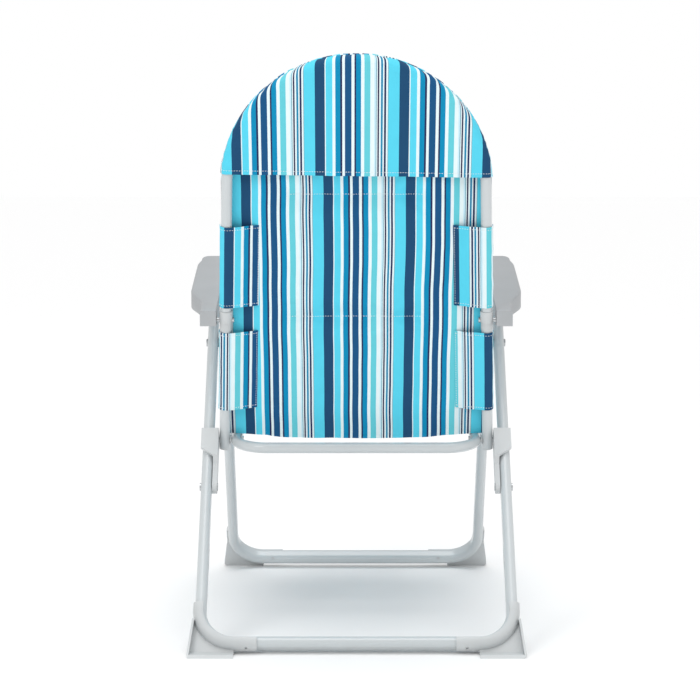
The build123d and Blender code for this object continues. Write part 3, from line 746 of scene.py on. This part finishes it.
def tabPlace(centre, outward, padward, phase):
    # gives the function that takes the flat tab to its place; flat x is as the cloth lies
    # behind the pad, and grows beyond the tube as the strip goes round it
    radius = tabSpec["radius"]
    depth = tabSpec["seamDepth"]
    reach = math.hypot(tabSpec["seamInset"], depth)
    turn = math.pi + math.atan2(depth, tabSpec["seamInset"]) - math.acos(radius / reach)
    leave = Vector((math.cos(turn) * radius, math.sin(turn) * radius))
    seam = Vector((-tabSpec["seamInset"], -depth))
    straight = (seam - leave).length

    def place(run, nearEnd):
        # run is measured along the strip from its seam, and nearEnd from its nearer hem
        wave = noise.noise(Vector((run * 60, nearEnd * 26, phase))) * 0.0007
        wave += noise.noise(Vector((run * 14, nearEnd * 60, phase + 4))) * 0.0006
        if run <= straight:
            spot = seam.lerp(leave, run / straight)
            lift = math.sin(math.pi * run / straight) * tabSpec["bow"]
            normal = Vector((math.cos(turn), math.sin(turn)))
        elif run <= straight + radius * turn:
            angle = turn - (run - straight) / radius
            spot = Vector((math.cos(angle), math.sin(angle))) * radius
            normal = Vector((math.cos(angle), math.sin(angle)))
            lift = 0
        else:
            spot = Vector((radius, -(run - straight - radius * turn)))
            normal = Vector((1, 0))
            lift = 0
        hem = tabSpec["hemRise"] * (1 - smoothStep(tabSpec["hem"], tabSpec["hem"] + 0.0015, nearEnd))
        spot = spot + normal * (max(wave, -tabSpec["dip"]) + lift + hem)
        return centre + outward * spot.x - padward * spot.y

    return place, straight + radius * turn + tabSpec["freeEnd"]


def makeTab(name, node, body, centre, alongTube, padward, side, length, material, phase, stitches):
    outward = alongTube.cross(padward).normalized()
    if outward.x * side < 0:
        outward = -outward
    place, run = tabPlace(centre, outward, padward, phase)
    seamX = (centre + outward * -tabSpec["seamInset"]).x
    half = length / 2

    def onTube(flatX, height):
        travelled = (flatX - seamX) * side
        nearEnd = half - abs(height)
        pull = 0.0012 * noise.noise(Vector((travelled * 30, math.copysign(1, height), phase)))
        return place(travelled, nearEnd) + alongTube * (height + pull * (1 - nearEnd / half))

    piece = makeSheet(
        name,
        34,
        44,
        lambda share, up: (seamX + side * run * (share * side + 1) / 2, (up - 0.5) * length),
        onTube,
        material,
        body,
        tabSpec["thickness"],
    )
    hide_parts(node)

    def rowRoute(height, first, last):
        def route(share):
            travelled = first + (last - first) * share
            here = onTube(seamX + side * travelled, height)
            near = onTube(seamX + side * (travelled + 0.001), height)
            face = (near - here).cross(alongTube).normalized()
            middle = centre + alongTube * (here - centre).dot(alongTube)
            if face.dot(here - middle + padward * -0.02) < 0:
                face = -face
            return here + face * (tabSpec["thickness"] * 0.5 + 0.0001), face
        return route

    for height in (half - tabSpec["hem"] + 0.001, tabSpec["hem"] - 0.001 - half):
        sewRow(stitches, rowRoute(height, 0.002, run - 0.012))

    def seamRoute(share):
        height = (share - 0.5) * (length - 0.006)
        here = onTube(seamX + side * 0.0025, height)
        return here - padward * (tabSpec["thickness"] * 0.5 + 0.0001), -padward

    sewRow(stitches, seamRoute)
    return piece


bm = bmesh.new()
for number, (name, spec) in enumerate(backTabs.items()):
    side = spec["side"]
    height = backTabHeights["Upper" if "Upper" in name else "Lower"]
    taper = chair["archTaper"]
    centre = backPoint(side * backHalfWidth(height, 0), height, 0)
    alongTube = (rightward * (-side * math.sin(taper)) + backUp * math.cos(taper)).normalized()
    cloth = stripedCanvas("stripedCanvas" + name, spec["start"], spec["flipped"], onSheet=True)
    makeTab(
        name,
        spec["node"],
        "back",
        centre,
        alongTube,
        backOut,
        side,
        tabLengths["back"],
        cloth,
        number * 3.0,
        bm,
    )
finishPiece(bm, "backTabStitches", thread, "back")
print("back tabs made")

bm = bmesh.new()
for number, (reachName, reach) in enumerate(seatTabReaches.items()):
    for sideName, side in (("Left", 1), ("Right", -1)):
        name = "seatTab" + reachName + sideName
        centre = seatPoint(side * chair["seatHalfSpan"], reach, 0)
        cloth = stripedCanvas("stripedCanvas" + name, 0.02 + 0.037 * number, side < 0, onSheet=True)
        node = f"seat_tab_{reachName.lower()}_{sideName.lower()}"
        makeTab(
            name,
            node,
            "seat",
            centre,
            seatAhead,
            seatOut,
            side,
            tabLengths["seat"],
            cloth,
            20 + number,
            bm,
        )
finishPiece(bm, "seatTabStitches", thread, "seat")
print("seat tabs made")

# Floor, light and camera.
floorMaterial, _, floorShader = newMaterial("paleFloor")
floorShader.inputs["Base Color"].default_value = linear("F8F8F8")
floorShader.inputs["Roughness"].default_value = 0.9
bm = bmesh.new()
bmesh.ops.create_grid(bm, x_segments=1, y_segments=1, size=20)
floorMesh = bpy.data.meshes.new("floor")
bm.to_mesh(floorMesh)
bm.free()
floorMesh.materials.append(floorMaterial)
floor = bpy.data.objects.new("floor", floorMesh)
bpy.context.scene.collection.objects.link(floor)

studio = {"backdrop": 1.0, "roomLight": 0.6}
world = bpy.data.worlds.new("studio")
bpy.context.scene.world = world
world.use_nodes = True
worldTree = world.node_tree
seen = addNode(worldTree, "ShaderNodeLightPath").outputs["Is Camera Ray"]
level = addNode(
    worldTree,
    "ShaderNodeMapRange",
    inputs={"Value": seen, "To Min": studio["roomLight"], "To Max": studio["backdrop"]},
)
worldTree.nodes["Background"].inputs["Color"].default_value = (1, 1, 1, 1)
worldTree.links.new(level.outputs["Result"], worldTree.nodes["Background"].inputs["Strength"])

lights = {
    "keyLight": {"place": (1.7, 2.4, 2.2), "size": 1.2, "power": 22},
    "fillLight": {"place": (-2.4, 1.6, 1.2), "size": 1.6, "power": 8},
}
target = Vector((0, 0, 0.45))
for name, spec in lights.items():
    data = bpy.data.lights.new(name, "AREA")
    data.energy = spec["power"]
    data.size = spec["size"]
    light = bpy.data.objects.new(name, data)
    light.location = spec["place"]
    light.rotation_euler = (target - Vector(spec["place"])).to_track_quat("-Z", "Y").to_euler()
    bpy.context.scene.collection.objects.link(light)

overhead = {"strength": 1.5, "spread": 50}
sunData = bpy.data.lights.new("overheadLight", "SUN")
sunData.energy = overhead["strength"]
sunData.angle = math.radians(overhead["spread"])
sun = bpy.data.objects.new("overheadLight", sunData)
sun.location = (0, 0, 3)
bpy.context.scene.collection.objects.link(sun)

cameraSpec = {"place": (0.011, 3.625, 0.893), "tilt": 6.54, "lens": 102.86}
cameraData = bpy.data.cameras.new("camera")
cameraData.lens = cameraSpec["lens"]
camera = bpy.data.objects.new("camera", cameraData)
camera.location = cameraSpec["place"]
camera.rotation_euler = (math.radians(90 - cameraSpec["tilt"]), 0, math.radians(180))
bpy.context.scene.collection.objects.link(camera)
bpy.context.scene.camera = camera
bpy.context.scene.view_settings.view_transform = "Standard"
print("stage made")
